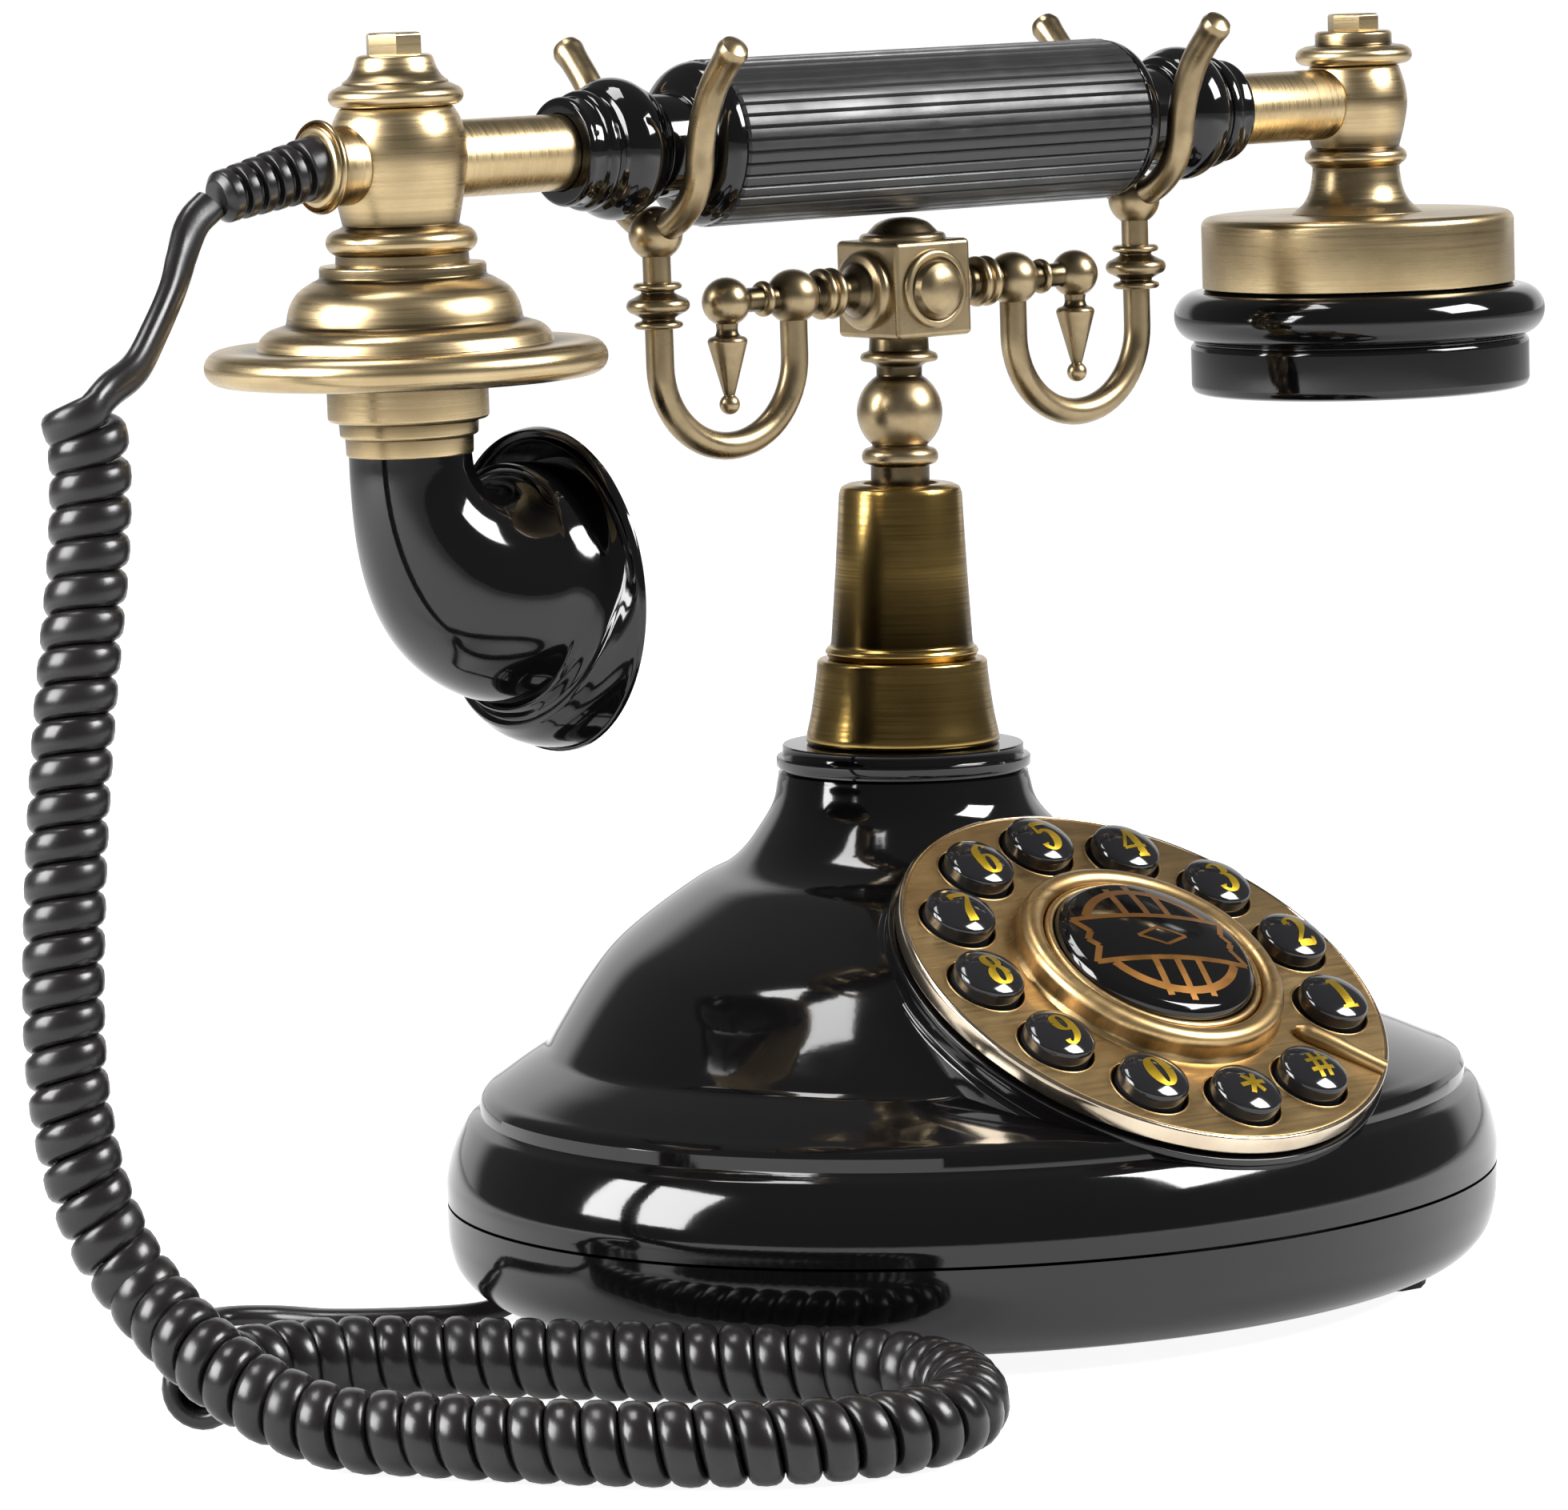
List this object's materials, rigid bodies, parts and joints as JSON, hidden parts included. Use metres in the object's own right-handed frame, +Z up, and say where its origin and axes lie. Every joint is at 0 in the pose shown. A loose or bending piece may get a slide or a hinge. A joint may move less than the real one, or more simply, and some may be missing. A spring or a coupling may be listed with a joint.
{
  "type": "cradle telephone",
  "caption": "French-style cradle telephone with an oval bell-shaped base, push-button dial, brass column and fork cradle, and a horned handset on a coiled cord.",
  "frame": {"origin": "on the floor, under the centre of the outline box of everything but the cord", "axes": "+Z up; the handset lies along X with its mouthpiece horn at -X; the dial faces -Y"},
  "size_m": [0.3197, 0.1823, 0.2094],
  "materials": {
    "black_gloss": "deep gloss black, moulded",
    "black_satin": "satin black, moulded",
    "key_black": "gloss black, domed",
    "antique_brass": "antique brass, fine brushed lines around",
    "dark_bronze": "darkened antique brass with a brown patina",
    "column_brass": "yellower antique brass, fine brushed lines around",
    "dial_brass": "brushed bronze-gold plate with a polished edge",
    "cord_black": "satin black sheath",
    "foot_rubber": "matte black",
    "board_green": "printed circuit board",
    "steel": "plain steel",
    "clear_plug": "clear moulded plug"
  },
  "bodies": {
    "base": {"base_pan": "black_gloss", "base_housing": "black_gloss", "foot_front_left": "foot_rubber", "foot_front_right": "foot_rubber", "foot_rear_left": "foot_rubber", "foot_rear_right": "foot_rubber", "handset_jack": "black_satin", "cord_plug": "clear_plug", "line_jack": "black_satin", "ballast_plate": "steel", "main_board": "board_green", "ringer": "black_satin", "hook_switch": "black_satin", "hook_spring": "steel", "column_flare": "column_brass", "column_tube": "column_brass", "dial_plate": "dial_brass", "dial_ring": "dial_brass", "dial_medallion": "black_gloss", "keypad_board": "board_green", "cord_lead_upper": "cord_black", "cord_coil": "cord_black", "cord_lead_lower": "cord_black"},
    "cradle": {"cradle_stem": "dark_bronze", "cradle_block": "dark_bronze", "arm_left": "dark_bronze", "arm_right": "dark_bronze", "hook_left": "dark_bronze", "hook_right": "dark_bronze", "fork_left": "dark_bronze", "fork_right": "dark_bronze"},
    "handset": {"handset_grip": "black_satin", "collar_left": "black_gloss", "collar_right": "black_gloss", "arm_tube_left": "antique_brass", "arm_tube_right": "antique_brass", "transmitter_head": "antique_brass", "transmitter_cap": "antique_brass", "transmitter_bell": "antique_brass", "microphone": "steel", "mouthpiece_horn": "black_gloss", "cord_ferrule": "antique_brass", "strain_relief": "cord_black", "receiver_head": "antique_brass", "receiver_cap": "antique_brass", "receiver_cup": "antique_brass", "ear_cap": "black_gloss", "earphone": "steel"},
    "key_1": {"key_1": "key_black"},
    "key_2": {"key_2": "key_black"},
    "key_3": {"key_3": "key_black"},
    "key_4": {"key_4": "key_black"},
    "key_5": {"key_5": "key_black"},
    "key_6": {"key_6": "key_black"},
    "key_7": {"key_7": "key_black"},
    "key_8": {"key_8": "key_black"},
    "key_9": {"key_9": "key_black"},
    "key_0": {"key_0": "key_black"},
    "key_star": {"key_star": "key_black"},
    "key_hash": {"key_hash": "key_black"}
  },
  "joints": [
    {"name": "handset_lift", "type": "slide", "parent": "base", "child": "handset", "axis": [0, 0, 1], "range_m": [0, 0.1]},
    {"name": "cradle_rise", "type": "slide", "parent": "base", "child": "cradle", "axis": [0, 0, 1], "range_m": [0, 0.005], "deforming": ["hook_spring"]},
    {"name": "press_1", "type": "slide", "parent": "base", "child": "key_1", "axis": [0, 0.527, -0.8499], "range_m": [0, 0.0015], "stiffness_N_per_m": 400},
    {"name": "press_2", "type": "slide", "parent": "base", "child": "key_2", "axis": [0, 0.527, -0.8499], "range_m": [0, 0.0015], "stiffness_N_per_m": 400},
    {"name": "press_3", "type": "slide", "parent": "base", "child": "key_3", "axis": [0, 0.527, -0.8499], "range_m": [0, 0.0015], "stiffness_N_per_m": 400},
    {"name": "press_4", "type": "slide", "parent": "base", "child": "key_4", "axis": [0, 0.527, -0.8499], "range_m": [0, 0.0015], "stiffness_N_per_m": 400},
    {"name": "press_5", "type": "slide", "parent": "base", "child": "key_5", "axis": [0, 0.527, -0.8499], "range_m": [0, 0.0015], "stiffness_N_per_m": 400},
    {"name": "press_6", "type": "slide", "parent": "base", "child": "key_6", "axis": [0, 0.527, -0.8499], "range_m": [0, 0.0015], "stiffness_N_per_m": 400},
    {"name": "press_7", "type": "slide", "parent": "base", "child": "key_7", "axis": [0, 0.527, -0.8499], "range_m": [0, 0.0015], "stiffness_N_per_m": 400},
    {"name": "press_8", "type": "slide", "parent": "base", "child": "key_8", "axis": [0, 0.527, -0.8499], "range_m": [0, 0.0015], "stiffness_N_per_m": 400},
    {"name": "press_9", "type": "slide", "parent": "base", "child": "key_9", "axis": [0, 0.527, -0.8499], "range_m": [0, 0.0015], "stiffness_N_per_m": 400},
    {"name": "press_0", "type": "slide", "parent": "base", "child": "key_0", "axis": [0, 0.527, -0.8499], "range_m": [0, 0.0015], "stiffness_N_per_m": 400},
    {"name": "press_star", "type": "slide", "parent": "base", "child": "key_star", "axis": [0, 0.527, -0.8499], "range_m": [0, 0.0015], "stiffness_N_per_m": 400},
    {"name": "press_hash", "type": "slide", "parent": "base", "child": "key_hash", "axis": [0, 0.527, -0.8499], "range_m": [0, 0.0015], "stiffness_N_per_m": 400}
  ],
  "couplings": [
    {"joint": "cradle_rise", "follows": "handset_lift", "ratio": 0.05}
  ]
}
